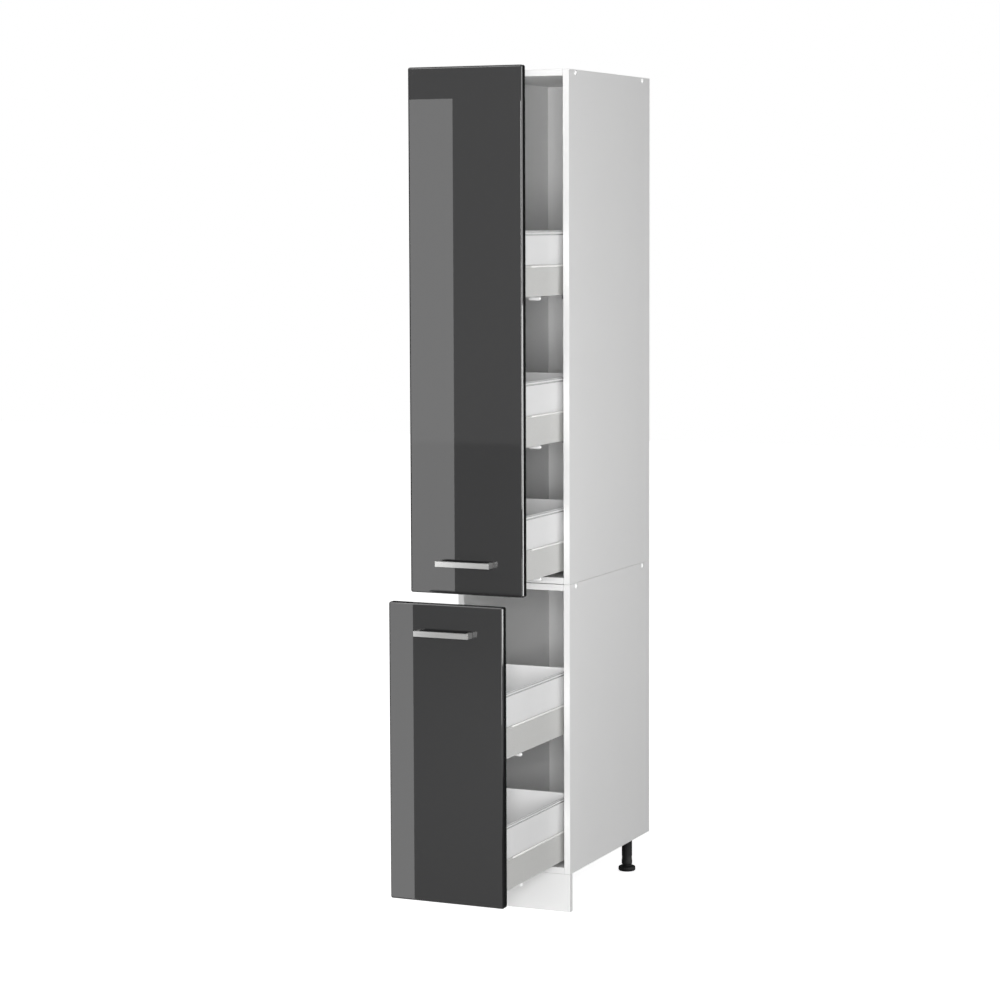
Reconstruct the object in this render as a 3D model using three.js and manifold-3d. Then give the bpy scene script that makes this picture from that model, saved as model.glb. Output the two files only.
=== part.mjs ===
// Pull-out larder unit: a tall, narrow kitchen cabinet of two boxes on adjustable legs, with an upper
// pull-out of three trays and a lower pull-out of two, both standing partly open.
// Millimetres. X runs to the right, Y into the cabinet and Z up. Inside the cabinet group, Y is zero at the
// front edges of the side panels and Z is zero at the floor.
import * as THREE from "three";
import { mergeVertices } from "three/addons/utils/BufferGeometryUtils.js";
import Module from "manifold-3d";

const wasm = await Module();
wasm.setup();

// Carcass
const cabinetWidth = 300;
const carcassDepth = 545;
const boardThickness = 16;
const legHeight = 95;
const lowerBoxHeight = 719;
const upperBoxHeight = 1251.7;
const backThickness = 3;
const backLap = 8;
const backMargin = 2;

// Fit between pieces that rest on each other, and running clearance of the rails
const fitGap = 0.3;
const runGap = 0.6;

// Fronts and handles
const frontSideReveal = 3;
const frontTopReveal = 3;
const frontBottomReveal = 2.5;
const frontSplitGap = 8;
const lowerFrontHeight = 710;
const frontThickness = 20;
const frontEdgeRadius = 4.2;
const frontCornerRadius = 4.6;
const closedGap = 2;
const handleLength = 140;
const handleHeight = 13;
const handleProjection = 27;
const handleBarThickness = 8;
const handleLegWidth = 9;
const handleEdge = 0.8;
const upperHandleRise = 74;
const lowerHandleDrop = 68.5;

// How far the pull-outs stand open
const upperOpening = 256;
const lowerOpening = 376.5;

// Front frames, of rectangular bar
const frameDepth = 12.4;
const uprightWidth = 20;
const uprightInset = 24.5;
const crossBarHeight = 22;
const crossBarRise = 32;

// Trays: a sheet frame with a rolled bead, and a plastic bin standing in it
const traySideGap = 8;
const trayLength = 450;
const sheetThickness = 2;
const skirtHeight = 74.5;
const beadHeight = 4.5;
const beadOverhang = 1.5;
const beadStart = 75;
const frameCornerRadius = 16;
const binHeight = 156;
const binWall = 2.5;
const binDraft = 2;
const binSideGap = 0.5;
const binRimHeight = 7.5;
const binRimRounding = 1.5;
const binFloorRadius = 6;

// Hooked lugs under the bins
const lugSetback = 130.5;
const lugDiameter = 9.5;
const lugReach = 30.5;
const lugDrop = 0.45;
const lugPostWidth = 8;

// Tray places
const lowestTrayGap = 13.5;
const lowerTrayPitch = 314.5;
const upperTrayGap = 14.7;
const upperTrayPitchLow = 319.5;
const upperTrayPitchHigh = 356.5;

// Runner rails
const railSheet = 2;
const railLength = 450;
const trackInset = 50;
const railDrop = 12.5;
const railWebStart = 100;
const railFlangeHeight = 32.5;
const railHeadWidth = 10;
const railHeadHeight = 5;
const railSlotWidth = 5;
const railChannelRise = 0.5;

// Legs and plinth
const legInsetSide = 40;
const legInsetFront = 48;
const legInsetBack = 60;
const socketDiameter = 60;
const socketThickness = 4;
const sleeveDiameter = 28;
const sleeveGap = 4;
const stemDiameter = 20;
const stemTop = 70;
const stemHeadroom = 10;
const footDiameter = 45;
const footHeight = 12;
const footChamfer = 2.5;
const plinthThickness = 16;
const clipWidth = 40;
const clipHeight = 30;
const clipPlate = 3;
const clipWall = 3;
const clipMouth = 20;
const clipRise = 40;

// Curves are drawn with this many steps
const roundSteps = 24;
const cornerSteps = 5;
const edgeSteps = 3;
const overrun = 5;

// Worked-out places
const innerHalf = cabinetWidth / 2 - boardThickness;
const boxSeam = legHeight + lowerBoxHeight;
const upperBoxFloor = boxSeam + fitGap;
const cabinetTop = upperBoxFloor + upperBoxHeight;
const frontWidth = cabinetWidth - 2 * frontSideReveal;
const lowerFrontBottom = legHeight + frontBottomReveal;
const lowerFrontTop = lowerFrontBottom + lowerFrontHeight;
const upperFrontBottom = lowerFrontTop + frontSplitGap;
const upperFrontHeight = cabinetTop - frontTopReveal - upperFrontBottom;
const frameSetback = closedGap - fitGap;
const traySetback = frameDepth + 2 * fitGap;
const trayClosedFront = traySetback - closedGap;
const railStart = trayClosedFront + sheetThickness + runGap;
const beadHalf = innerHalf - traySideGap;
const skirtHalf = beadHalf - beadOverhang;
const skirtBack = trayLength - beadOverhang;
const lowestTray = legHeight + boardThickness + lowestTrayGap;
const upperTray = upperBoxFloor + boardThickness + upperTrayGap;
const lowerTrays = [lowestTray + lowerTrayPitch, lowestTray];
const upperTrays = [
  upperTray + upperTrayPitchLow + upperTrayPitchHigh,
  upperTray + upperTrayPitchLow,
  upperTray,
];

// Heights on the rails, above a tray's lower edge
const channelWidth = railHeadWidth + 2 * runGap + 2 * railSheet;
const cavityHeight = railHeadHeight + 2 * runGap;
const lowCavity = railChannelRise + railSheet;
const lowHead = lowCavity + runGap;
const middleTop = lowCavity + cavityHeight + railSheet;
const trayLip = middleTop + runGap;
const highCavity = trayLip + railSheet;
const highHead = highCavity + runGap;
const trayFloor = highCavity + cavityHeight;
const binSeat = trayFloor + sheetThickness + fitGap;

// Materials
const finishes = {
  board: { color: 0xe9e9e7, roughness: 0.55, metalness: 0 },
  back: { color: 0xd9d9d9, roughness: 0.6, metalness: 0 },
  gloss: { color: 0x434343, roughness: 0.08, metalness: 0 },
  handle: { color: 0xc2c2c0, roughness: 0.32, metalness: 1 },
  trayFrame: { color: 0xc6c6c2, roughness: 0.45, metalness: 0.3 },
  bin: { color: 0xe4e3e2, roughness: 0.4, metalness: 0 },
  rail: { color: 0xb4b6b8, roughness: 0.35, metalness: 0.9 },
  frontFrame: { color: 0xbdbdba, roughness: 0.45, metalness: 0.4 },
  leg: { color: 0x1c1c1c, roughness: 0.6, metalness: 0 },
  clip: { color: 0x262626, roughness: 0.6, metalness: 0 },
};

// One named sub-part with a material of its own
function addPart(parent, name, geometry, finish, place = [0, 0, 0]) {
  const material = new THREE.MeshStandardMaterial(finishes[finish]);
  const mesh = new THREE.Mesh(geometry, material);
  mesh.name = name;
  mesh.position.set(...place);
  parent.add(mesh);
  return mesh;
}

// A closed geometry as a solid that can be joined and cut
function solidOf(geometry) {
  const bare = geometry.index ? geometry.toNonIndexed() : geometry.clone();
  bare.deleteAttribute("normal");
  bare.deleteAttribute("uv");
  const merged = mergeVertices(bare);
  const vertProperties = merged.attributes.position.array;
  const triVerts = new Uint32Array(merged.index.array);
  return new wasm.Manifold(new wasm.Mesh({ numProp: 3, vertProperties, triVerts }));
}

// The geometry of a joined or cut solid
function geometryOf(solid) {
  const result = solid.getMesh();
  const geometry = new THREE.BufferGeometry();
  const positions = new THREE.BufferAttribute(result.vertProperties, 3);
  geometry.setAttribute("position", positions);
  geometry.setIndex(new THREE.BufferAttribute(result.triVerts, 1));
  geometry.computeVertexNormals();
  return geometry;
}

function join(first, ...others) {
  let whole = solidOf(first);
  for (const other of others) whole = whole.add(solidOf(other));
  return geometryOf(whole);
}

function cut(first, ...tools) {
  let whole = solidOf(first);
  for (const tool of tools) whole = whole.subtract(solidOf(tool));
  return geometryOf(whole);
}

// A rectangular block between two corners
function block(low, high) {
  const size = high.map((value, axis) => value - low[axis]);
  const middle = high.map((value, axis) => (value + low[axis]) / 2);
  return new THREE.BoxGeometry(...size).translate(...middle);
}

// An outline in X and Z, drawn out along Y
function alongDepth(points, length) {
  const shape = new THREE.Shape(points.map(([x, z]) => new THREE.Vector2(x, z)));
  const geometry = new THREE.ExtrudeGeometry(shape, { depth: length, bevelEnabled: false });
  return geometry.rotateX(Math.PI / 2).translate(0, length, 0);
}

// An outline in X and Y, drawn out along Z
function alongHeight(shape, height) {
  return new THREE.ExtrudeGeometry(shape, { depth: height, bevelEnabled: false });
}

// A rectangle with rounded corners, as points counted anticlockwise from its right front corner
function roundedPoints(halfWidth, front, back, radius) {
  const corners = [
    [halfWidth - radius, front + radius, -Math.PI / 2],
    [halfWidth - radius, back - radius, 0],
    [radius - halfWidth, back - radius, Math.PI / 2],
    [radius - halfWidth, front + radius, Math.PI],
  ];
  const points = [];
  for (const [x, y, start] of corners) {
    for (let step = 0; step <= cornerSteps; step++) {
      const angle = start + (step / cornerSteps) * (Math.PI / 2);
      const point = new THREE.Vector2(x + radius * Math.cos(angle), y + radius * Math.sin(angle));
      points.push(point);
    }
  }
  return points;
}

// A wall of even thickness that follows a rounded rectangle
function ringWall(halfWidth, front, back, radius, thickness, height) {
  const shape = new THREE.Shape(roundedPoints(halfWidth, front, back, radius));
  const inner = [halfWidth - thickness, front + thickness, back - thickness, radius - thickness];
  shape.holes.push(new THREE.Path(roundedPoints(...inner).reverse()));
  return alongHeight(shape, height);
}

// A closed skin over a stack of rings that all have as many points
function loft(rings) {
  const count = rings[0].points.length;
  const positions = [];
  const indices = [];
  for (const ring of rings) {
    for (const point of ring.points) positions.push(point.x, point.y, ring.height);
  }
  for (let level = 0; level + 1 < rings.length; level++) {
    for (let step = 0; step < count; step++) {
      const next = (step + 1) % count;
      const low = level * count;
      const high = low + count;
      indices.push(low + step, low + next, high + next);
      indices.push(low + step, high + next, high + step);
    }
  }
  const last = (rings.length - 1) * count;
  for (let step = 1; step + 1 < count; step++) {
    indices.push(0, step + 1, step);
    indices.push(last, last + step, last + step + 1);
  }
  const geometry = new THREE.BufferGeometry();
  geometry.setAttribute("position", new THREE.Float32BufferAttribute(positions, 3));
  geometry.setIndex(indices);
  return geometry;
}

// A turned piece about an upright axis, from a list of radius and height
function turned(profile) {
  const points = profile.map(([radius, height]) => new THREE.Vector2(radius, height));
  return new THREE.LatheGeometry(points, roundSteps).rotateX(Math.PI / 2);
}

const cabinet = new THREE.Group();

// Side panels, each with a rebate at its rear inner edge for the back panel
function sidePanel(side, height) {
  const outer = (side * cabinetWidth) / 2;
  const inner = side * innerHalf;
  const lap = side * (innerHalf + backLap);
  const rebate = carcassDepth - backThickness - fitGap;
  const shape = new THREE.Shape([
    new THREE.Vector2(outer, 0),
    new THREE.Vector2(inner, 0),
    new THREE.Vector2(inner, rebate),
    new THREE.Vector2(lap, rebate),
    new THREE.Vector2(lap, carcassDepth),
    new THREE.Vector2(outer, carcassDepth),
  ]);
  return alongHeight(shape, height);
}

// A shelf board between the side panels
function shelfBoard() {
  const half = innerHalf - fitGap;
  const depth = carcassDepth - backThickness - fitGap;
  return block([-half, 0, 0], [half, depth, boardThickness]);
}

function backPanel(height) {
  const half = innerHalf + backLap - fitGap;
  const low = [-half, carcassDepth - backThickness, backMargin];
  return block(low, [half, carcassDepth, height - backMargin]);
}

const boxes = [
  { label: "lower", floor: legHeight, height: lowerBoxHeight },
  { label: "upper", floor: upperBoxFloor, height: upperBoxHeight },
];
for (const { label, floor, height } of boxes) {
  const box = new THREE.Group();
  box.position.z = floor;
  cabinet.add(box);
  addPart(box, label + "_side_left", sidePanel(-1, height), "board");
  addPart(box, label + "_side_right", sidePanel(1, height), "board");
  addPart(box, label + "_base_board", shelfBoard(), "board");
  addPart(box, label + "_top_board", shelfBoard(), "board", [0, 0, height - boardThickness]);
  addPart(box, label + "_back_panel", backPanel(height), "back");
}

// Plinth board, standing on the floor between the legs and the front edges
const plinthHeight = legHeight - fitGap;
const plinthHalf = cabinetWidth / 2;
const plinth = block([-plinthHalf, 0, 0], [plinthHalf, plinthThickness, plinthHeight]);
addPart(cabinet, "plinth_board", plinth, "board");

// A leg: a socket plate under the base board, and a sleeve that is bored from below for the foot
function legGeometry() {
  const bore = stemDiameter / 2 + fitGap;
  const boreTop = stemTop + stemHeadroom;
  const sleeveBottom = footHeight + sleeveGap;
  const plateTop = legHeight - fitGap;
  const plateBottom = plateTop - socketThickness;
  return turned([
    [0, boreTop],
    [bore, boreTop],
    [bore, sleeveBottom],
    [sleeveDiameter / 2, sleeveBottom],
    [sleeveDiameter / 2, plateBottom],
    [socketDiameter / 2, plateBottom],
    [socketDiameter / 2, plateTop],
    [0, plateTop],
  ]);
}

// A foot: a thick disc with a stem that screws up into the leg
function footGeometry() {
  return turned([
    [0, 0],
    [footDiameter / 2 - footChamfer / 2, 0],
    [footDiameter / 2, footChamfer],
    [footDiameter / 2, footHeight - footChamfer],
    [footDiameter / 2 - footChamfer, footHeight],
    [stemDiameter / 2, footHeight],
    [stemDiameter / 2, stemTop],
    [0, stemTop],
  ]);
}

// A plinth clip: a plate behind the plinth board, an arm, and an open ring that snaps round the sleeve
function clipGeometry() {
  const inner = sleeveDiameter / 2 + fitGap;
  const outer = inner + clipWall;
  const plateFront = plinthThickness + fitGap - legInsetFront;
  const plateBack = plateFront + clipPlate;
  const plate = block([-clipWidth / 2, plateFront, 0], [clipWidth / 2, plateBack, clipHeight]);
  const armBack = -inner - clipWall / 2;
  const arm = block([-clipMouth / 2, plateBack - clipPlate / 2, 0], [clipMouth / 2, armBack, clipHeight]);
  const ring = new THREE.CylinderGeometry(outer, outer, clipHeight, roundSteps).rotateX(Math.PI / 2);
  ring.translate(0, 0, clipHeight / 2);
  const boreHeight = clipHeight + 2 * overrun;
  const bore = new THREE.CylinderGeometry(inner, inner, boreHeight, roundSteps).rotateX(Math.PI / 2);
  bore.translate(0, 0, clipHeight / 2);
  const mouth = block([-clipMouth / 2, 0, -overrun], [clipMouth / 2, outer + overrun, clipHeight + overrun]);
  return cut(join(plate, arm, ring), bore, mouth);
}

const legPlaces = [
  { label: "front_left", side: -1, y: legInsetFront },
  { label: "front_right", side: 1, y: legInsetFront },
  { label: "rear_left", side: -1, y: carcassDepth - legInsetBack },
  { label: "rear_right", side: 1, y: carcassDepth - legInsetBack },
];
for (const { label, side, y } of legPlaces) {
  const leg = new THREE.Group();
  leg.position.set(side * (cabinetWidth / 2 - legInsetSide), y, 0);
  cabinet.add(leg);
  addPart(leg, "leg_" + label, legGeometry(), "leg");
  addPart(leg, "foot_" + label, footGeometry(), "leg");
  if (y === legInsetFront) addPart(leg, "plinth_clip_" + label, clipGeometry(), "clip", [0, 0, clipRise]);
}

// The same outline on the other side of its middle line
function mirrored(points) {
  return points.map(([x, z]) => [-x, z]);
}

// Half widths of a rail head and its neck, and of the channel that runs on it
const headHalf = railHeadWidth / 2;
const neckHalf = railSheet / 2;
const channelHalf = channelWidth / 2;
const cavityHalf = channelHalf - railSheet;
const slotHalf = railSlotWidth / 2;

// Cabinet rail: a raised head, and from some way back a flange against the side panel with a web that
// passes under the tray
function cabinetRail(side) {
  const wall = trackInset - fitGap;
  const webTop = railSheet - railDrop;
  const flangeTop = railFlangeHeight - railDrop;
  const rightHead = [
    [neckHalf, lowHead],
    [headHalf, lowHead],
    [headHalf, lowHead + railHeadHeight],
  ];
  const head = [...rightHead, ...mirrored(rightHead).reverse(), [-neckHalf, 0], [neckHalf, 0]];
  const carrier = [
    [-neckHalf, lowHead],
    [-neckHalf, -railDrop],
    [wall, -railDrop],
    [wall, flangeTop],
    [wall - railSheet, flangeTop],
    [wall - railSheet, webTop],
    [neckHalf, webTop],
    [neckHalf, lowHead],
  ];
  const carried = carrier.map(([x, z]) => [side * x, z]);
  const web = alongDepth(carried, railLength - railWebStart).translate(0, railWebStart, 0);
  return join(alongDepth(head, railLength), web);
}

// Middle rail: a channel round the cabinet rail's head, with a head of its own above it
function middleRail() {
  const outside = [
    [slotHalf, railChannelRise],
    [channelHalf, railChannelRise],
    [channelHalf, middleTop],
    [neckHalf, middleTop],
    [neckHalf, highHead],
    [headHalf, highHead],
    [headHalf, highHead + railHeadHeight],
  ];
  const inside = [
    [slotHalf, lowCavity],
    [cavityHalf, lowCavity],
    [cavityHalf, lowCavity + cavityHeight],
  ];
  const left = [...mirrored(outside).reverse(), ...mirrored(inside)];
  return alongDepth([...outside, ...left, ...inside.reverse()], railLength);
}

// Sheet frame of a tray: skirt all round, floor, bead along the top, and rail channels under the floor.
// The rear of the skirt is notched where the rails pass through it
function trayFrameGeometry() {
  const band = ringWall(skirtHalf, 0, skirtBack, frameCornerRadius, sheetThickness, skirtHeight);
  const notches = [-1, 1].map((side) => {
    const track = side * (innerHalf - trackInset);
    const half = channelHalf + runGap;
    return block([track - half, trayLength / 2, -overrun], [track + half, trayLength, trayFloor]);
  });
  const skirt = cut(band, ...notches);
  const outer = [beadHalf, -beadOverhang, trayLength, frameCornerRadius + beadOverhang];
  const beadWidth = beadOverhang + sheetThickness;
  const beadRing = ringWall(...outer, beadWidth, beadHeight).translate(0, 0, skirtHeight - beadHeight);
  const ahead = block([-cabinetWidth, -overrun, 0], [cabinetWidth, beadStart, binHeight]);
  const bead = cut(beadRing, ahead);
  const floorInset = sheetThickness / 2;
  const floorEdges = [skirtHalf - floorInset, floorInset, skirtBack - floorInset, frameCornerRadius];
  const floorShape = new THREE.Shape(roundedPoints(...floorEdges));
  const floor = alongHeight(floorShape, sheetThickness).translate(0, 0, trayFloor);
  const flange = [
    [slotHalf, trayLip],
    [channelHalf, trayLip],
    [channelHalf, trayFloor + sheetThickness / 2],
    [cavityHalf, trayFloor + sheetThickness / 2],
    [cavityHalf, highCavity],
    [slotHalf, highCavity],
  ];
  const flanges = [];
  for (const side of [-1, 1]) {
    const track = side * (innerHalf - trackInset);
    for (const half of [flange, mirrored(flange)]) {
      flanges.push(alongDepth(half, skirtBack).translate(track, 0, 0));
    }
  }
  const holes = [-1, 1].map((side) => lugPassage(side));
  return cut(join(skirt, floor, bead, ...flanges), ...holes);
}

// Places of a bin's lug: its outer end is level with the skirt, and its post stands near its inner end
const lugRadius = lugDiameter / 2;
const lugHeight = -lugDrop - lugRadius;
const postOuter = skirtHalf - lugReach / 2;
const postInner = postOuter - lugPostWidth;

// The slot in the frame's floor that a lug's post goes through
function lugPassage(side) {
  const xs = [side * (postInner - binSideGap), side * (postOuter + binSideGap)].sort((a, b) => a - b);
  const y = lugPostWidth / 2 + binSideGap;
  const low = [xs[0], lugSetback - y, trayFloor - overrun];
  return block(low, [xs[1], lugSetback + y, binSeat + overrun]);
}

// A lug: a round-ended peg under the frame's edge, on a post down from the bin's underside
function lugGeometry(side) {
  const profile = [
    [0, 0],
    [lugRadius, 0],
  ];
  for (let step = 0; step < edgeSteps; step++) {
    const angle = (step / edgeSteps) * (Math.PI / 2);
    const along = lugReach - lugRadius + lugRadius * Math.sin(angle);
    profile.push([lugRadius * Math.cos(angle), along]);
  }
  profile.push([0, lugReach]);
  const peg = turned(profile).rotateY((side * Math.PI) / 2);
  peg.translate(side * (skirtHalf - lugReach), lugSetback, lugHeight);
  const xs = [side * postInner, side * postOuter].sort((a, b) => a - b);
  const low = [xs[0], lugSetback - lugPostWidth / 2, lugHeight];
  const post = block(low, [xs[1], lugSetback + lugPostWidth / 2, binSeat + binWall / 2]);
  return join(peg, post);
}

// Bin: drafted walls, a thick rim with rounded edges, and the two lugs
function binGeometry() {
  const wallInset = sheetThickness + binSideGap;
  const rim = binHeight - binRimHeight;
  const levels = [
    { inset: wallInset + binDraft + binFloorRadius / 2, height: binSeat },
    { inset: wallInset + binDraft, height: binSeat + binFloorRadius / 2 },
    { inset: wallInset, height: rim },
    { inset: binRimRounding, height: rim },
    { inset: 0, height: rim + binRimRounding },
    { inset: 0, height: binHeight - binRimRounding },
    { inset: binRimRounding, height: binHeight },
    { inset: wallInset + binWall - binRimRounding, height: binHeight },
    { inset: wallInset + binWall, height: binHeight - binRimRounding },
    { inset: wallInset + binDraft + binWall, height: binSeat + binWall + binFloorRadius },
    { inset: wallInset + binDraft + binWall + binFloorRadius, height: binSeat + binWall },
  ];
  const rings = levels.map(({ inset, height }) => {
    const edges = [skirtHalf - inset, inset, skirtBack - inset, frameCornerRadius - inset / 2];
    return { height, points: roundedPoints(...edges) };
  });
  return join(loft(rings), lugGeometry(-1), lugGeometry(1));
}

// Front panel with a rounded front edge all round; its rear face is at Y zero and its foot at Z zero
function frontPanel(height) {
  const half = frontWidth / 2 - frontEdgeRadius;
  const corner = frontCornerRadius - frontEdgeRadius;
  const low = frontEdgeRadius;
  const shape = new THREE.Shape(roundedPoints(half, low, height - frontEdgeRadius, corner));
  const slab = new THREE.ExtrudeGeometry(shape, {
    depth: frontThickness,
    bevelThickness: frontEdgeRadius,
    bevelSize: frontEdgeRadius,
    bevelSegments: edgeSteps,
  });
  slab.rotateX(Math.PI / 2).translate(0, frontEdgeRadius, 0);
  const behind = block([-cabinetWidth, 0, -overrun], [cabinetWidth, frontThickness, height + overrun]);
  return cut(slab, behind);
}

// Square bow handle, drawn out upwards from its plan; its legs end at Y zero
function handleGeometry() {
  const half = handleLength / 2 - handleEdge;
  const inside = handleLength / 2 - handleLegWidth + handleEdge;
  const barBack = handleBarThickness - handleProjection - handleEdge;
  const outline = [
    [half, handleEdge],
    [half, handleEdge - handleProjection],
    [-half, handleEdge - handleProjection],
    [-half, handleEdge],
    [-inside, handleEdge],
    [-inside, barBack],
    [inside, barBack],
    [inside, handleEdge],
  ];
  const shape = new THREE.Shape(outline.map(([x, y]) => new THREE.Vector2(x, y)));
  const bow = new THREE.ExtrudeGeometry(shape, {
    depth: handleHeight - 2 * handleEdge,
    bevelThickness: handleEdge,
    bevelSize: handleEdge,
    bevelSegments: 1,
  });
  bow.translate(0, 0, handleEdge - handleHeight / 2);
  const width = handleLength;
  return cut(bow, block([-width, 0, -handleHeight], [width, overrun, handleHeight]));
}

// Front frame: two uprights from the lowest tray to the highest, with a cross bar at each tray
function frontFrameGeometry(trays) {
  const bottom = Math.min(...trays);
  const top = Math.max(...trays) + binHeight;
  const outer = skirtHalf - uprightInset;
  const bars = [];
  for (const x of [-outer, outer - uprightWidth]) {
    bars.push(block([x, 0, bottom], [x + uprightWidth, frameDepth, top]));
  }
  const inner = outer - uprightWidth / 2;
  for (const tray of trays) {
    const low = tray + crossBarRise;
    bars.push(block([-inner, 0, low], [inner, frameDepth, low + crossBarHeight]));
  }
  return join(...bars);
}

// The two pull-outs, drawn closed and then moved out of the cabinet
const pullOuts = [
  {
    label: "upper",
    opening: upperOpening,
    bottom: upperFrontBottom,
    height: upperFrontHeight,
    handleAt: upperFrontBottom + upperHandleRise,
    trays: upperTrays,
    first: 1,
  },
  {
    label: "lower",
    opening: lowerOpening,
    bottom: lowerFrontBottom,
    height: lowerFrontHeight,
    handleAt: lowerFrontTop - lowerHandleDrop,
    trays: lowerTrays,
    first: 1 + upperTrays.length,
  },
];
for (const { label, opening, bottom, height, handleAt, trays, first } of pullOuts) {
  const moving = new THREE.Group();
  moving.position.y = -opening;
  cabinet.add(moving);
  addPart(moving, label + "_front", frontPanel(height), "gloss", [0, -closedGap, bottom]);
  const handleFace = -closedGap - frontThickness - fitGap;
  addPart(moving, label + "_handle", handleGeometry(), "handle", [0, handleFace, handleAt]);
  const frame = frontFrameGeometry(trays);
  addPart(moving, label + "_front_frame", frame, "frontFrame", [0, -frameSetback, 0]);
  trays.forEach((height, index) => {
    const tray = "tray_" + (first + index);
    const place = [0, trayClosedFront, height];
    addPart(moving, tray + "_frame", trayFrameGeometry(), "trayFrame", place);
    addPart(moving, tray + "_bin", binGeometry(), "bin", place);
    for (const [sideLabel, side] of [["left", -1], ["right", 1]]) {
      const track = side * (innerHalf - trackInset);
      const fixed = [track, railStart, height];
      const rail = tray + "_" + sideLabel + "_cabinet_rail";
      addPart(cabinet, rail, cabinetRail(side), "rail", fixed);
      const half = [track, railStart - opening / 2, height];
      addPart(cabinet, tray + "_" + sideLabel + "_middle_rail", middleRail(), "rail", half);
    }
  });
}

// The part's origin is on the floor, under the middle of its overall box
const foremost = -closedGap - lowerOpening - frontThickness - fitGap - handleProjection;
const larder = new THREE.Group();
larder.add(cabinet);
cabinet.position.y = -(foremost + carcassDepth) / 2;

export default larder;
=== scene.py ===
import math

import bmesh
import bpy
from mathutils import Matrix, Vector


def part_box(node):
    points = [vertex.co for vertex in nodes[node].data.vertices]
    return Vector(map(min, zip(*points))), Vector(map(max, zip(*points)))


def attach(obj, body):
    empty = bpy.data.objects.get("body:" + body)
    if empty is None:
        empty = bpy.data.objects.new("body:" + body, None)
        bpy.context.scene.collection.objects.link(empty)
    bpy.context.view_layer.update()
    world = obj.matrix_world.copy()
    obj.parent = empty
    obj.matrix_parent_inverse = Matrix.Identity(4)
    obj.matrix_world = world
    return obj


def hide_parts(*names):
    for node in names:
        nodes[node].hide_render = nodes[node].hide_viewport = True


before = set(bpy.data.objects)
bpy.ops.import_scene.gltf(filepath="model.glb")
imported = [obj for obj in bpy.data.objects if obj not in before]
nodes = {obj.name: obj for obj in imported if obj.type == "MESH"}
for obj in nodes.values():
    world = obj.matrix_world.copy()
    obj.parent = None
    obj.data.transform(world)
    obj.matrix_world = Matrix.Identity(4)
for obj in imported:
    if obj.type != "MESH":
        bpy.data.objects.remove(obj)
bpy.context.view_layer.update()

# The photographer's camera
# A long lens at eye height, 24 degrees round to the right of the fronts. It looks a few degrees down, and
# its frame is shifted down by the little that centres the picture.
camera_data = bpy.data.cameras.new("camera")
camera_data.sensor_width = 36.0
camera_data.lens = 102.0676
camera_data.shift_y = -0.05133
camera_data.clip_end = 60.0
camera = bpy.data.objects.new("camera", camera_data)
bpy.context.scene.collection.objects.link(camera)
round_angle = math.radians(23.9601)
down_angle = math.radians(4.6)
tilt_angle = math.radians(-0.2144)
level = Vector((-math.sin(round_angle), math.cos(round_angle), 0.0))
across = Vector((math.cos(round_angle), math.sin(round_angle), 0.0))
overhead = Vector((0.0, 0.0, 1.0))
ahead = level * math.cos(down_angle) - overhead * math.sin(down_angle)
upright = level * math.sin(down_angle) + overhead * math.cos(down_angle)
right = across * math.cos(tilt_angle) + upright * math.sin(tilt_angle)
up = upright * math.cos(tilt_angle) - across * math.sin(tilt_angle)
turned_view = Matrix((right, up, -ahead)).transposed().to_4x4()
standpoint = (2.78848, -6.41282, 1.70192)
camera.matrix_world = Matrix.Translation(standpoint) @ turned_view
bpy.context.scene.camera = camera
bpy.context.scene.view_settings.view_transform = "Standard"


# The studio
# A white floor and a white surround with a soft glow from the front, one large soft light in front and to
# the right, and cards and black screens that only the polished surfaces show: they draw the lighter
# panels, the bright edges and the dark edges of the fronts, and the shine of the handles.
def set_inputs(node, **values):
    """Sets the inputs of these names, with _ for a space."""
    for title, value in values.items():
        node.inputs[title.replace("_", " ")].default_value = value
    return node


def shader_of(name, **values):
    material = bpy.data.materials.new(name)
    material.use_nodes = True
    tree = material.node_tree
    return material, tree, set_inputs(tree.nodes["Principled BSDF"], **values)


def flat_stage(name, corners, material):
    mesh = bpy.data.meshes.new(name)
    mesh.from_pydata(corners, [], [(0, 1, 2, 3)])
    mesh.materials.append(material)
    sheet = bpy.data.objects.new(name, mesh)
    bpy.context.scene.collection.objects.link(sheet)
    return sheet


def studio_floor():
    white = (0.82, 0.82, 0.82, 1)
    material, tree, shader = shader_of("white_floor", Base_Color=white, Roughness=0.9, Specular_IOR_Level=0.0)
    path = tree.nodes.new("ShaderNodeLightPath")
    glow = set_inputs(tree.nodes.new("ShaderNodeEmission"), Color=(1, 1, 1, 1))
    total = None
    for ray, share in (("Is Camera Ray", 0.75), ("Is Glossy Ray", 0.3), ("Is Transmission Ray", 0.3)):
        step = tree.nodes.new("ShaderNodeMath")
        step.operation = "MULTIPLY_ADD"
        step.inputs[1].default_value = share
        step.inputs[2].default_value = 0.0
        tree.links.new(path.outputs[ray], step.inputs[0])
        if total:
            tree.links.new(total, step.inputs[2])
        total = step.outputs[0]
    tree.links.new(total, glow.inputs["Strength"])
    both = tree.nodes.new("ShaderNodeAddShader")
    tree.links.new(shader.outputs[0], both.inputs[0])
    tree.links.new(glow.outputs[0], both.inputs[1])
    tree.links.new(both.outputs[0], tree.nodes["Material Output"].inputs["Surface"])
    reach, under_feet = 14.0, -0.0005
    corners = [(x * reach, y * reach, under_feet) for x, y in ((-1, -1), (1, -1), (1, 1), (-1, 1))]
    flat_stage("studio_floor", corners, material)


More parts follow.
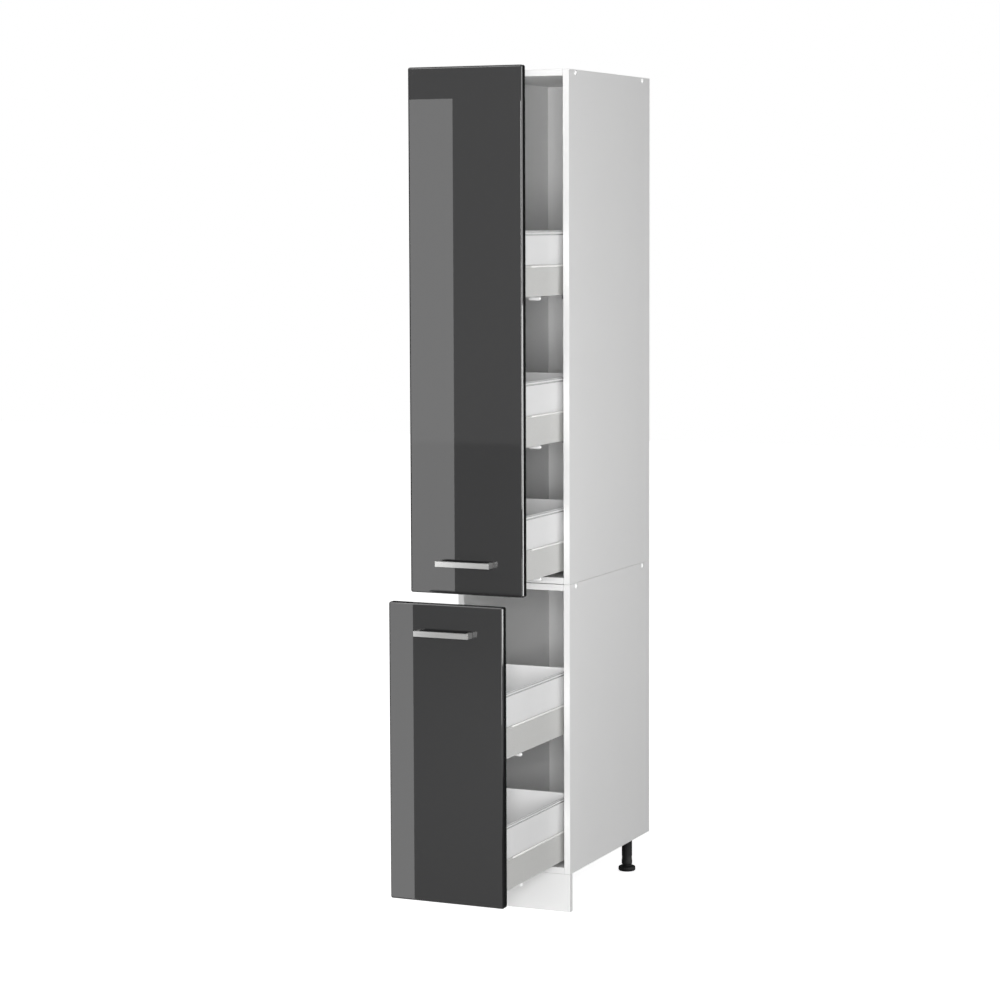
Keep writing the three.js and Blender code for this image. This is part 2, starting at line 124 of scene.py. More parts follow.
def soft_light(name, place, aim, width, height, power):
    data = bpy.data.lights.new(name, "AREA")
    data.shape = "RECTANGLE"
    data.size, data.size_y = width, height
    data.energy = power
    light = bpy.data.objects.new(name, data)
    bpy.context.scene.collection.objects.link(light)
    facing = (Vector(aim) - Vector(place)).to_track_quat("-Z", "Y")
    light.matrix_world = Matrix.Translation(place) @ facing.to_matrix().to_4x4()
    light.visible_camera = False
    return light


def polish_card(name, place, aim, width, height, radiance):
    """A lit card, which only the polished surfaces show."""
    card = soft_light(name, place, aim, width, height, radiance * math.pi * width * height)
    card.visible_diffuse = False
    card.visible_transmission = False


def black_flag(name, corners):
    """A black screen, which only the polished surfaces show."""
    black = (0.004, 0.004, 0.004, 1)
    flag = flat_stage(name, corners, shader_of("black_screen", Base_Color=black, Specular_IOR_Level=0.0)[0])
    flag.visible_camera = False
    flag.visible_diffuse = False
    flag.visible_transmission = False
    flag.visible_shadow = False


studio_floor()
world = bpy.data.worlds.new("white_surround")
world.use_nodes = True
bpy.context.scene.world = world
sky = world.node_tree
background = sky.nodes["Background"]
background.inputs["Color"].default_value = (1, 1, 1, 1)
rays = sky.nodes.new("ShaderNodeLightPath")
passed = rays.outputs["Is Camera Ray"]
for ray in ("Is Glossy Ray", "Is Transmission Ray"):
    either = sky.nodes.new("ShaderNodeMath")
    either.operation = "MAXIMUM"
    sky.links.new(passed, either.inputs[0])
    sky.links.new(rays.outputs[ray], either.inputs[1])
    passed = either.outputs[0]
heading = sky.nodes.new("ShaderNodeTexCoord")
frontal = sky.nodes.new("ShaderNodeVectorMath")
frontal.operation = "DOT_PRODUCT"
towards_front = (-0.3, -0.94, 0.15)
frontal.inputs[1].default_value = towards_front
sky.links.new(heading.outputs["Generated"], frontal.inputs[0])
dome = sky.nodes.new("ShaderNodeMapRange")
dome.interpolation_type = "SMOOTHSTEP"
set_inputs(dome, From_Min=-0.1, From_Max=0.9, To_Min=0.27, To_Max=1.0)
sky.links.new(frontal.outputs["Value"], dome.inputs["Value"])
strength = set_inputs(sky.nodes.new("ShaderNodeMapRange"), To_Max=1.0)
sky.links.new(passed, strength.inputs["Value"])
sky.links.new(dome.outputs[0], strength.inputs["To Min"])
sky.links.new(strength.outputs[0], background.inputs["Strength"])
soft_light("key_light", place=(2.113, -4.532, 1.3), aim=(0.0, 0.0, 1.0), width=1.0, height=1.5, power=130.0)
for name, place, aim, width, height, radiance in (
    ("key_top_card", (2.117, -4.543, 2.111), (0.004, -0.011, 1.811), 1.0, 0.125, 27.6),
    ("left_card", (-0.2346, -0.6057, 1.0), (-0.2346, 0.4, 1.0), 0.16, 2.0, 2.75),
    ("top_card", (-0.95, -1.85, 3.0), (0.0, -0.35, 1.5), 1.6, 1.0, 6.0),
    ("low_card", (1.1, -2.63, 0.36), (0.06, -0.36, 0.75), 0.7, 0.5, 9.0),
    ("right_card", (2.3, 0.1, 0.885), (0.0, 0.1, 0.885), 3.0, 1.11, 14.0),
    ("right_upper_card", (2.3, 0.1, 2.05), (0.0, 0.1, 2.05), 3.0, 1.2, 5.0),
):
    polish_card(name, place, aim, width, height, radiance)
foot_z, head_z = 0.001, 4.0
for name, start, stop in (
    ("rear_flag", (1.75, 2.25), (-0.2, 2.85)),
    ("back_flag", (-0.7, 3.0), (-1.9, 3.0)),
    ("left_flag", (-1.9, 3.0), (-1.9, -0.75)),
    ("front_flag", (-1.9, -0.75), (-1.2, -2.15)),
):
    black_flag(name, [(*start, foot_z), (*stop, foot_z), (*stop, head_z), (*start, head_z)])
on_floor = ((0.25, -1.6), (2.2, -1.6), (2.2, 2.6), (0.25, 2.6))
black_flag("floor_flag", [(x, y, foot_z) for x, y in on_floor])


# White boards
# The carcass boards are 16 mm chipboard faced in white melamine, with banded front edges and bare rear
# edges. The side panels are rebated for the backs, and the other boards are dowelled between them.
def texture_on(tree, kind, stretch=None, **values):
    """A texture in the piece's own coordinates, stretched where a scale is given."""
    source = tree.nodes.new("ShaderNodeTexCoord").outputs["Object"]
    if stretch:
        mapping = set_inputs(tree.nodes.new("ShaderNodeMapping"), Scale=stretch)
        tree.links.new(source, mapping.inputs["Vector"])
        source = mapping.outputs[0]
    texture = set_inputs(tree.nodes.new("ShaderNodeTex" + kind), **values)
    tree.links.new(source, texture.inputs["Vector"])
    return texture


def mottle(tree, shader, pattern, first, last, start=0.0, stop=1.0):
    ramp = tree.nodes.new("ShaderNodeValToRGB")
    for element, colour, position in zip(ramp.color_ramp.elements, (first, last), (start, stop)):
        element.position = position
        element.color = (*colour, 1)
    tree.links.new(pattern, ramp.inputs[0])
    tree.links.new(ramp.outputs[0], shader.inputs["Base Color"])


def vary_roughness(tree, shader, pattern, smoothest, roughest):
    spread = set_inputs(tree.nodes.new("ShaderNodeMapRange"), To_Min=smoothest, To_Max=roughest)
    tree.links.new(pattern, spread.inputs["Value"])
    tree.links.new(spread.outputs[0], shader.inputs["Roughness"])


def emboss(tree, shader, pattern, strength, distance):
    relief = set_inputs(tree.nodes.new("ShaderNodeBump"), Strength=strength, Distance=distance)
    tree.links.new(pattern, relief.inputs["Height"])
    tree.links.new(relief.outputs[0], shader.inputs["Normal"])


def white_melamine():
    material, tree, shader = shader_of("white_melamine", Roughness=0.5, Specular_IOR_Level=0.25)
    cloud = texture_on(tree, "Noise", Scale=3.0, Detail=3.0)
    mottle(tree, shader, cloud.outputs[0], (0.83, 0.83, 0.828), (0.86, 0.86, 0.857))
    pearl = texture_on(tree, "Noise", Scale=900.0, Detail=2.0)
    emboss(tree, shader, pearl.outputs[0], strength=0.05, distance=0.0004)
    return material


def bare_chipboard():
    material, tree, shader = shader_of("bare_chipboard", Roughness=0.9)
    chips = texture_on(tree, "Voronoi", Scale=420.0)
    mottle(tree, shader, chips.outputs["Color"], (0.36, 0.24, 0.13), (0.66, 0.5, 0.32))
    emboss(tree, shader, chips.outputs["Distance"], strength=0.5, distance=0.0005)
    return material


def solid_object(name, work, materials, crisp=32.0):
    bmesh.ops.recalc_face_normals(work, faces=work.faces)
    for face in work.faces:
        face.smooth = True
    mesh = bpy.data.meshes.new(name)
    work.to_mesh(mesh)
    work.free()
    mesh.set_sharp_from_angle(angle=math.radians(crisp))
    for material in materials:
        mesh.materials.append(material)
    piece = bpy.data.objects.new(name, mesh)
    bpy.context.scene.collection.objects.link(piece)
    return piece


def prism(work, outline, start, length, upright=True):
    """A closed outline drawn out along Z, from (x, y) points, or along Y, from (x, z) points."""
    if upright:
        ends = [[(x, y, start + step) for x, y in outline] for step in (0.0, length)]
    else:
        ends = [[(x, start + step, z) for x, z in outline] for step in (0.0, length)]
    first, second = [[work.verts.new(p) for p in end] for end in ends]
    work.faces.new(first)
    work.faces.new(second[::-1])
    for index in range(len(outline)):
        after = (index + 1) % len(outline)
        work.faces.new((first[index], second[index], second[after], first[after]))


def ease_edges(work, width):
    """Rounds every edge that turns more than 35 degrees."""
    work.normal_update()
    sharp = [e for e in work.edges if len(e.link_faces) == 2 and e.calc_face_angle(0) > math.radians(35)]
    rounded = {"segments": 2, "profile": 0.5, "affect": "EDGES", "clamp_overlap": True}
    bmesh.ops.bevel(work, geom=sharp, offset=width, **rounded)
    bmesh.ops.recalc_face_normals(work, faces=work.faces)


def level_normals(piece):
    """Keeps broad faces flat-looking beside their eased edges."""
    even = piece.modifiers.new("even", "WEIGHTED_NORMAL")
    even.keep_sharp = True
    even.weight = 60
    depsgraph = bpy.context.evaluated_depsgraph_get()
    mesh = bpy.data.meshes.new_from_object(piece.evaluated_get(depsgraph))
    piece.modifiers.clear()
    old = piece.data
    piece.data = mesh
    bpy.data.meshes.remove(old)
    return piece


def rectangle(x0, x1, y0, y1):
    return [(x0, y0), (x1, y0), (x1, y1), (x0, y1)]


def block(work, low, high):
    prism(work, rectangle(low.x, high.x, low.y, high.y), low.z, high.z - low.z)


melamine = white_melamine()
chipboard = bare_chipboard()
board_ease = 0.001
rebate_lap = 0.008
rebate_depth = 0.0033
board_seam = 0.0005


def finish_board(node, work):
    ease_edges(work, board_ease)
    bare_from = max(v.co.y for v in work.verts) - rebate_depth - board_ease
    for face in work.faces:
        if face.normal.y > 0.9 and face.calc_center_median().y > bare_from:
            face.material_index = 1
    piece = level_normals(solid_object(node + "_faced", work, [melamine, chipboard]))
    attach(piece, "carcass")
    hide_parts(node)


for box_name in ("lower", "upper"):
    for side_name, side in (("left", -1), ("right", 1)):
        low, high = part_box(f"{box_name}_side_{side_name}")
        outer = high.x if side > 0 else low.x
        inner = low.x if side > 0 else high.x
        lap = inner + side * rebate_lap
        step_y = high.y - rebate_depth
        plan = [(outer, low.y), (inner, low.y), (inner, step_y), (lap, step_y)]
        plan += [(lap, high.y), (outer, high.y)]
        work = bmesh.new()
        prism(work, plan, low.z, high.z - low.z)
        finish_board(f"{box_name}_side_{side_name}", work)
    for place in ("base", "top"):
        low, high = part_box(f"{box_name}_{place}_board")
        if (box_name, place) == ("upper", "base"):
            low.z += board_seam
        if (box_name, place) == ("lower", "top"):
            high.z -= board_seam
        work = bmesh.new()
        block(work, low, high)
        finish_board(f"{box_name}_{place}_board", work)
low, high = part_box("plinth_board")
work = bmesh.new()
block(work, low, high)
ease_edges(work, board_ease)
plinth = level_normals(solid_object("plinth_board_faced", work, [melamine]))
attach(plinth, "carcass")
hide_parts("plinth_board")


# Back panels
# Each box is closed by a 3 mm hardboard back, lacquered white inside and brown outside, which lies in the
# sides' rebates and is stapled all round.
def brown_hardboard():
    material, tree, shader = shader_of("brown_hardboard", Roughness=0.7)
    fibres = texture_on(tree, "Noise", Scale=160.0, Detail=6.0)
    mottle(tree, shader, fibres.outputs[0], (0.2, 0.115, 0.06), (0.32, 0.2, 0.11), start=0.3, stop=0.75)
    return material


def plain_metal(name, colour, roughness):
    material, tree, shader = shader_of(name, Base_Color=(*colour, 1), Metallic=1.0)
    wear = texture_on(tree, "Noise", Scale=240.0)
    vary_roughness(tree, shader, wear.outputs[0], roughness * 0.8, roughness * 1.25)
    return material


def parts_tree(name, sockets):
    """Sets copies of a part on points. Returns the tree, its inputs and the node that takes the points."""
    tree = bpy.data.node_groups.new(name, "GeometryNodeTree")
    for title, kind in (*sockets, ("Part", "Object"), ("Finish", "Material")):
        tree.interface.new_socket(title, in_out="INPUT", socket_type="NodeSocket" + kind)
    tree.interface.new_socket("Geometry", in_out="OUTPUT", socket_type="NodeSocketGeometry")
    entry = tree.nodes.new("NodeGroupInput")
    leave = tree.nodes.new("NodeGroupOutput")
    part = tree.nodes.new("GeometryNodeObjectInfo")
    copies = tree.nodes.new("GeometryNodeInstanceOnPoints")
    real = tree.nodes.new("GeometryNodeRealizeInstances")
    paint = tree.nodes.new("GeometryNodeSetMaterial")
    link = tree.links.new
    link(entry.outputs["Part"], part.inputs["Object"])
    link(part.outputs["Geometry"], copies.inputs["Instance"])
    link(copies.outputs["Instances"], real.inputs["Geometry"])
    link(real.outputs["Geometry"], paint.inputs["Geometry"])
    link(entry.outputs["Finish"], paint.inputs["Material"])
    link(paint.outputs["Geometry"], leave.inputs["Geometry"])
    return tree, entry, copies


def row_of_parts():
    """Copies of one small part along a straight row, each turned alike."""
    sockets = (("Count", "Int"), ("Start", "Vector"), ("Step", "Vector"))
    tree, entry, copies = parts_tree("row_of_parts", sockets)
    line = tree.nodes.new("GeometryNodeMeshLine")
    for title, socket in (("Count", "Count"), ("Start", "Start Location"), ("Step", "Offset")):
        tree.links.new(entry.outputs[title], line.inputs[socket])
    tree.links.new(line.outputs["Mesh"], copies.inputs["Points"])
    return tree


def grown_mesh(tree, **values):
    """What a tree makes from these inputs, as a plain mesh."""
    carrier = bpy.data.objects.new(tree.name, bpy.data.meshes.new(tree.name))
    bpy.context.scene.collection.objects.link(carrier)
    modifier = carrier.modifiers.new("parts", "NODES")
    modifier.node_group = tree
    for item in tree.interface.items_tree:
        if item.in_out == "INPUT":
            modifier[item.identifier] = values[item.name]
    depsgraph = bpy.context.evaluated_depsgraph_get()
    made = bpy.data.meshes.new_from_object(carrier.evaluated_get(depsgraph))
    bpy.data.objects.remove(carrier)
    return made


row_tree = row_of_parts()


def row_of(name, part, rows, finish):
    """One mesh that holds rows of a part; each row is (count, start, step)."""
    whole = bmesh.new()
    for count, start, step in rows:
        made = grown_mesh(row_tree, Count=count, Start=start, Step=step, Part=part, Finish=finish)
        whole.from_mesh(made)
        bpy.data.meshes.remove(made)
    mesh = bpy.data.meshes.new(name)
    whole.to_mesh(mesh)
    whole.free()
    mesh.materials.append(finish)
    piece = bpy.data.objects.new(name, mesh)
    bpy.context.scene.collection.objects.link(piece)
    return piece


hardboard = brown_hardboard()
staple_steel = plain_metal("staple_steel", (0.5, 0.5, 0.5), 0.35)
panel_ease, staple_length, wire, wire_rise = 0.0003, 0.009, 0.0009, 0.0006
edge_inset, corner_gap, staple_pitch, sink = 0.005, 0.015, 0.09, 0.0001
across_count, across_step = 4, 0.06
work = bmesh.new()
prism(work, rectangle(-staple_length / 2, staple_length / 2, -wire / 2, wire / 2), 0.0, wire_rise)
staple = solid_object("staple", work, [staple_steel])
staple.data.transform(Matrix.Rotation(math.radians(-90), 4, "X"))
for box_name in ("lower", "upper"):
    node = f"{box_name}_back_panel"
    low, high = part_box(node)
    work = bmesh.new()
    block(work, low, high)
    ease_edges(work, panel_ease)
    for face in work.faces:
        if face.normal.y > 0.9:
            face.material_index = 1
    piece = level_normals(solid_object(node + "_faced", work, [melamine, hardboard]))
    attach(piece, "carcass")
    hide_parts(node)
    y = high.y - sink
    up_count = int((high.z - low.z - 2 * edge_inset) / staple_pitch) + 1
    up_step = (high.z - low.z - 2 * corner_gap) / (up_count - 1)
    first_x = -across_step * (across_count - 1) / 2
    rows = []
    for x in (low.x + edge_inset, high.x - edge_inset):
        rows.append((up_count, (x, y, low.z + corner_gap), (0, 0, up_step)))
    for z in (low.z + edge_inset, high.z - edge_inset):
        rows.append((across_count, (first_x, y, z), (across_step, 0, 0)))
    staples = row_of(f"{box_name}_back_staples", staple, rows, staple_steel)
    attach(staples, "carcass")
bpy.data.objects.remove(staple)


# Cover caps
# Thin white plastic caps, 13 mm across and slightly domed, cover the screws that hold the top boards
# between the side panels: two for each board on each side.
def skin_between(work, rings):
    """Faces from each ring of vertices to the next; a ring may be a single point."""
    steps = max(len(ring) for ring in rings)
    for near, far in zip(rings, rings[1:]):
        for i in range(steps):
            corners = [ring[k % len(ring)] for ring, k in ((near, i), (near, i + 1), (far, i + 1), (far, i))]
            work.faces.new(list(dict.fromkeys(corners)))


def turned_work(profile, steps, teeth=0):
    """A closed turned shape about the Z axis, from (radius, height) points that start and end on it. A
    third number in a point is the depth of the teeth there."""
    work = bmesh.new()
    rings = []
    for radius, height, *depth in profile:
        ring = []
        for i in range(steps if radius else 1):
            a = 2 * math.pi * i / steps
            r = radius - sum(depth) * (1 - math.cos(teeth * a))
            ring.append(work.verts.new((r * math.cos(a), r * math.sin(a), height)))
        rings.append(ring)
    skin_between(work, rings)
    return work


def turned_part(name, profile, steps, finish, degrees, axis):
    part = solid_object(name, turned_work(profile, steps), [finish])
    part.data.transform(Matrix.Rotation(math.radians(degrees), 4, axis))
    return part


def moulded_plastic(name, colour, roughness, grain, relief_depth):
    material, tree, shader = shader_of(name, IOR=1.48)
    cloud = texture_on(tree, "Noise", Scale=14.0)
    mottle(tree, shader, cloud.outputs[0], [c * 0.975 for c in colour], [c * 1.02 for c in colour])
    fine = texture_on(tree, "Noise", Scale=grain)
    vary_roughness(tree, shader, fine.outputs[0], roughness * 0.9, roughness * 1.1)
    emboss(tree, shader, fine.outputs[0], strength=0.15, distance=relief_depth)
    return material


cap_plastic = moulded_plastic("cap_plastic", (0.95, 0.95, 0.95), 0.18, 1500.0, 0.0001)
cap_profile = [
    (0, 0), (0.0064, 0), (0.0066, 0.0003), (0.0065, 0.0009), (0.006, 0.0015),
    (0.0052, 0.0021), (0.0041, 0.0026), (0.0028, 0.0029), (0.0014, 0.0031), (0, 0.0032),
]
cap_setback, cap_pitch, cap_sides = 0.0425, 0.4505, 28
for side_name, side in (("left", -1), ("right", 1)):
    cap = turned_part("cap", cap_profile, cap_sides, cap_plastic, 90 * side, "Y")
    low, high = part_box(f"upper_side_{side_name}")
    face_x = high.x if side > 0 else low.x
    rows = []
    for board in ("lower_top_board", "upper_top_board"):
        board_low, board_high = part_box(board)
        height = (board_low.z + board_high.z) / 2
        rows.append((2, (face_x, low.y + cap_setback, height), (0, cap_pitch, 0)))
    caps = row_of(f"cover_caps_{side_name}", cap, rows, cap_plastic)
    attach(caps, "carcass")
    bpy.data.objects.remove(cap)


# Legs and feet
# Four black plastic legs: a round plate screwed under the base board, a ribbed sleeve, and a foot with a
# fluted rim that screws in and out of it.
black_plastic = moulded_plastic("black_plastic", (0.005, 0.005, 0.0053), 0.62, 700.0, 0.0003)
set_inputs(black_plastic.node_tree.nodes["Principled BSDF"], Specular_IOR_Level=0.12)
screw_steel = plain_metal("screw_steel", (0.62, 0.62, 0.63), 0.3)


def ring_of_parts():
    """Copies of one small part round the Z axis, each turned outwards."""
    tree, entry, copies = parts_tree("ring_of_parts", (("Count", "Int"), ("Radius", "Float")))
    circle = tree.nodes.new("GeometryNodeMeshCircle")
    place = tree.nodes.new("GeometryNodeInputPosition")
    outwards = tree.nodes.new("FunctionNodeAlignEulerToVector")
    outwards.axis = "X"
    link = tree.links.new
    link(entry.outputs["Count"], circle.inputs["Vertices"])
    link(entry.outputs["Radius"], circle.inputs["Radius"])
    link(circle.outputs["Mesh"], copies.inputs["Points"])
    link(place.outputs[0], outwards.inputs["Vector"])
    link(outwards.outputs[0], copies.inputs["Rotation"])
    return tree


ring_tree = ring_of_parts()
bore, bore_top, waist, neck, collar, flare = 0.0103, 0.08, 0.0131, 0.0137, 0.014, 0.0155
plate_radius, plate_thickness, plate_ease = 0.03, 0.004, 0.0006
rib_count, rib_width, rib_proud, rib_sunk, rib_drop = 16, 0.0018, 0.0005, 0.0003, 0.002
leg_sides, foot_sides, foot_teeth = 48, 96, 24
foot_profile = [
    (0, 0), (0.0206, 0), (0.0218, 0.0012, 0.0002), (0.0224, 0.003, 0.0005), (0.0224, 0.0085, 0.0005),
    (0.0216, 0.0105, 0.0003), (0.019, 0.012), (0.0105, 0.012), (0.01, 0.0125), (0.01, 0.069),
    (0.009, 0.07), (0, 0.07),
]
work = bmesh.new()
rib_outline = [(-rib_sunk, -0.051), (rib_proud, -0.05), (rib_proud, -0.0015), (-rib_sunk, -0.0005)]
prism(work, rib_outline, -rib_width / 2, rib_width, upright=False)
rib = solid_object("rib", work, [black_plastic])
for corner in ("front_left", "front_right", "rear_left", "rear_right"):
    low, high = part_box(f"leg_{corner}")
    centre = Matrix.Translation(((low.x + high.x) / 2, (low.y + high.y) / 2, 0))
    top, bottom = high.z, low.z
    under_plate = top - plate_thickness
    leg_profile = [
        (0, bore_top), (bore, bore_top), (bore, bottom), (0.0124, bottom), (0.013, bottom + 0.0008),
        (collar, bottom + 0.002), (collar, bottom + 0.012), (waist, bottom + 0.0135),
        (waist, under_plate - 0.0045), (neck, under_plate - 0.004), (neck, under_plate - 0.001),
        (flare, under_plate), (plate_radius - 0.001, under_plate), (plate_radius, under_plate + 0.001),
        (plate_radius, top - plate_ease), (plate_radius - plate_ease, top), (0, top),
    ]
    leg = turned_work(leg_profile, leg_sides)
    ribs = grown_mesh(ring_tree, Count=rib_count, Radius=waist, Part=rib, Finish=black_plastic)
    ribs.transform(Matrix.Translation((0, 0, under_plate - rib_drop)))
    leg.from_mesh(ribs)
    bpy.data.meshes.remove(ribs)
    piece = solid_object(f"leg_{corner}_moulded", leg, [black_plastic])
    piece.data.transform(centre)
    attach(piece, "carcass")
    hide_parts(f"leg_{corner}")
    foot = turned_work(foot_profile, foot_sides, foot_teeth)
    piece = solid_object(f"foot_{corner}_moulded", foot, [black_plastic])
    piece.data.transform(centre)
    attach(piece, f"{corner}_foot")
    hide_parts(f"foot_{corner}")
bpy.data.objects.remove(rib)
for side_name in ("left", "right"):
    nodes[f"plinth_clip_front_{side_name}"].data.materials[0] = black_plastic


# Gloss fronts
# Two 20 mm fronts in dark grey high gloss, their front edges and corners rounded, and white melamine on
# their backs.
def grey_gloss():
    material, tree, shader = shader_of("grey_gloss", Roughness=0.02, IOR=1.5)
    cloud = texture_on(tree, "Noise", Scale=5.0)
    mottle(tree, shader, cloud.outputs[0], (0.0165, 0.0165, 0.017), (0.018, 0.018, 0.0185))
    peel = texture_on(tree, "Noise", Scale=130.0, Detail=1.0)
    emboss(tree, shader, peel.outputs[0], strength=0.02, distance=0.0002)
    return material


def rounded_outline(x0, x1, z0, z1, radius, steps):
    points = []
    for x, z, start in (
        (x1 - radius, z0 + radius, -90), (x1 - radius, z1 - radius, 0),
        (x0 + radius, z1 - radius, 90), (x0 + radius, z0 + radius, 180),
    ):
        for i in range(steps + 1):
            a = math.radians(start + 90 * i / steps)
            points.append((x + radius * math.cos(a), z + radius * math.sin(a)))
    return points


def loft(work, rings):
    """A closed skin over rings of equally many points, capped at both ends. Returns the first cap."""
    made = [[work.verts.new(p) for p in ring] for ring in rings]
    skin_between(work, made)
    first_cap = work.faces.new(made[0][::-1])
    work.faces.new(made[-1])
    return first_cap


gloss = grey_gloss()
edge_round, corner_round, least_round, back_ease = 0.0046, 0.005, 0.0004, 0.0004
edge_steps, corner_steps = 8, 6
for name in ("upper", "lower"):
    low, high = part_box(f"{name}_front")
    sections = [(high.y, back_ease), (high.y - back_ease, 0.0)]
    for i in range(edge_steps + 1):
        a = math.radians(90 * i / edge_steps)
        sections.append((low.y + edge_round * (1 - math.sin(a)), edge_round * (1 - math.cos(a))))
    rings = []
    for y, inset in sections:
        sides = (low.x + inset, high.x - inset, low.z + inset, high.z - inset)
        outline = rounded_outline(*sides, max(corner_round - inset, least_round), corner_steps)
        rings.append([(x, y, z) for x, z in outline])
    work = bmesh.new()
    back = loft(work, rings)
    back.material_index = 1
    piece = level_normals(solid_object(f"{name}_front_gloss", work, [gloss, melamine], crisp=50))
    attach(piece, f"{name}_pull_out")
    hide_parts(f"{name}_front")


# Handles
# Square bow handles in brushed steel, bent from one bar, with smoother flanks. Each is held by two screws
# that come through the front from behind.
def brushed_steel(name, smoothest, roughest):
    material, tree, shader = shader_of(name, Base_Color=(0.38, 0.38, 0.376, 1), Metallic=1.0)
    lines = texture_on(tree, "Noise", (14.0, 1600.0, 1600.0), Scale=1.0, Detail=3.0)
    vary_roughness(tree, shader, lines.outputs[0], smoothest, roughest)
    emboss(tree, shader, lines.outputs[0], strength=0.12, distance=0.0002)
    return material


steel = brushed_steel("brushed_steel", 0.38, 0.52)
smooth_steel = brushed_steel("smooth_steel", 0.25, 0.34)
bar_depth, foot_width, handle_ease, screw_sides = 0.008, 0.009, 0.0004, 20
screw_profile = [
    (0, 0.0), (0.0036, 0.0), (0.004, 0.0006), (0.0036, 0.0017),
    (0.0018, 0.0022), (0.0016, 0.0012), (0, 0.0012),
]
for name in ("upper", "lower"):
    low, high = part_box(f"{name}_handle")
    half = (high.x - low.x) / 2
    inside = half - foot_width
    bow = [
        (half, high.y), (half, low.y), (-half, low.y), (-half, high.y),
        (-inside, high.y), (-inside, low.y + bar_depth), (inside, low.y + bar_depth), (inside, high.y),
    ]
    work = bmesh.new()
    prism(work, bow, low.z, high.z - low.z)
    ease_edges(work, handle_ease)
    for face in work.faces:
        face.material_index = int(abs(face.normal.x) > 0.7)
    handle = level_normals(solid_object(f"{name}_handle_bow", work, [steel, smooth_steel]))
    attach(handle, f"{name}_pull_out")
    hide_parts(f"{name}_handle")
    screw = turned_part("screw", screw_profile, screw_sides, screw_steel, -90, "X")
    reach = half - foot_width / 2
    behind_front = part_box(f"{name}_front")[1].y
    rows = [(2, (-reach, behind_front, (low.z + high.z) / 2), (2 * reach, 0, 0))]
    screws = row_of(f"{name}_handle_screws", screw, rows, screw_steel)
    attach(screws, f"{name}_pull_out")
    bpy.data.objects.remove(screw)


# Front frames
# Behind each front, two aluminium uprights with a cross bar at each tray tie the trays to the front, so
# that they run out together.
def satin_aluminium():
    material, tree, shader = shader_of("satin_aluminium", Base_Color=(0.6, 0.6, 0.59, 1), Metallic=1.0)
    lines = texture_on(tree, "Noise", (900.0, 900.0, 6.0), Scale=1.0)
    vary_roughness(tree, shader, lines.outputs[0], smoothest=0.36, roughest=0.5)
    return material


aluminium = satin_aluminium()
trays_of = {"upper": (1, 2, 3), "lower": (4, 5)}
upright_width, upright_ease = 0.02, 0.001
bar_rise, bar_height, bar_gap, bar_setback, bar_ease = 0.032, 0.022, 0.0001, 0.001, 0.0008
for name, trays in trays_of.items():
    low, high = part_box(f"{name}_front_frame")
    work = bmesh.new()
    for x in (low.x, high.x - upright_width):
        prism(work, rectangle(x, x + upright_width, low.y, high.y), low.z, high.z - low.z)
    ease_edges(work, upright_ease)
    uprights = level_normals(solid_object(f"{name}_frame_uprights", work, [aluminium]))
    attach(uprights, f"{name}_pull_out")
    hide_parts(f"{name}_front_frame")
    work = bmesh.new()
    left_x, right_x = low.x + upright_width + bar_gap, high.x - upright_width - bar_gap
    for number in trays:
        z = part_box(f"tray_{number}_frame")[0].z + bar_rise
        prism(work, rectangle(left_x, right_x, low.y + bar_setback, high.y - bar_setback), z, bar_height)
    ease_edges(work, bar_ease)
    bars = level_normals(solid_object(f"{name}_frame_cross_bars", work, [aluminium]))
    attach(bars, f"{name}_pull_out")


# Tray frames
# Each tray stands in a folded sheet frame, powder-coated silver grey: a skirt all round with a rolled
# bead along its sides and back, and a floor with the runners' upper channels folded under it.
def silver_coat(name, colour, roughness):
    material, tree, shader = shader_of(name, Base_Color=(*colour, 1))
    grains = texture_on(tree, "Noise", Scale=1400.0)
    dark, pale = [c * 0.93 for c in colour], [min(1, c * 1.05) for c in colour]
    mottle(tree, shader, grains.outputs[0], dark, pale, start=0.35, stop=0.65)
    vary_roughness(tree, shader, grains.outputs[0], roughness * 0.9, roughness * 1.1)
    emboss(tree, shader, grains.outputs[0], strength=0.1, distance=0.0002)
    return material


frame_coat = silver_coat("silver_coat", (0.59, 0.59, 0.575), 0.5)
# The bead gets a lighter copy of the same silver coat: a painted highlight for the light its rounded top
# catches.
bead_coat = silver_coat("bead_coat", (0.76, 0.76, 0.745), 0.55)
skirt_height, sheet, frame_corner, frame_corner_steps = 0.0745, 0.002, 0.016, 10
bead_height, bead_reach, bead_bulge, bead_sunk, bead_start = 0.0055, 0.0015, 0.0022, 0.0008, 0.075
bead_off, bead_steps, tip_length, tip_share = 0.00001, 8, 0.002, 0.45
track_offset, notch_half, notch_top, overcut = 0.084, 0.0082, 0.0192, 0.01
floor_rise, floor_gap, channel_gap = 0.0195, 0.00005, 0.0002
channel_wall = [
    (0.0025, 0.0113), (0.0076, 0.0113), (0.0076, 0.01949),
    (0.0056, 0.01949), (0.0056, 0.0133), (0.0025, 0.0133),
]


def ring_at(edges, inset, radius, z, steps=frame_corner_steps):
    x0, x1, y0, y1 = edges
    outline = rounded_outline(x0 + inset, x1 - inset, y0 + inset, y1 - inset, radius, steps)
    return [(x, y, z) for x, y in outline]


def hollow_loft(work, rings):
    """A closed skin over rings that go up outside and come down inside, joined at the bottom."""
    made = [[work.verts.new(p) for p in ring] for ring in rings]
    skin_between(work, made + made[:1])


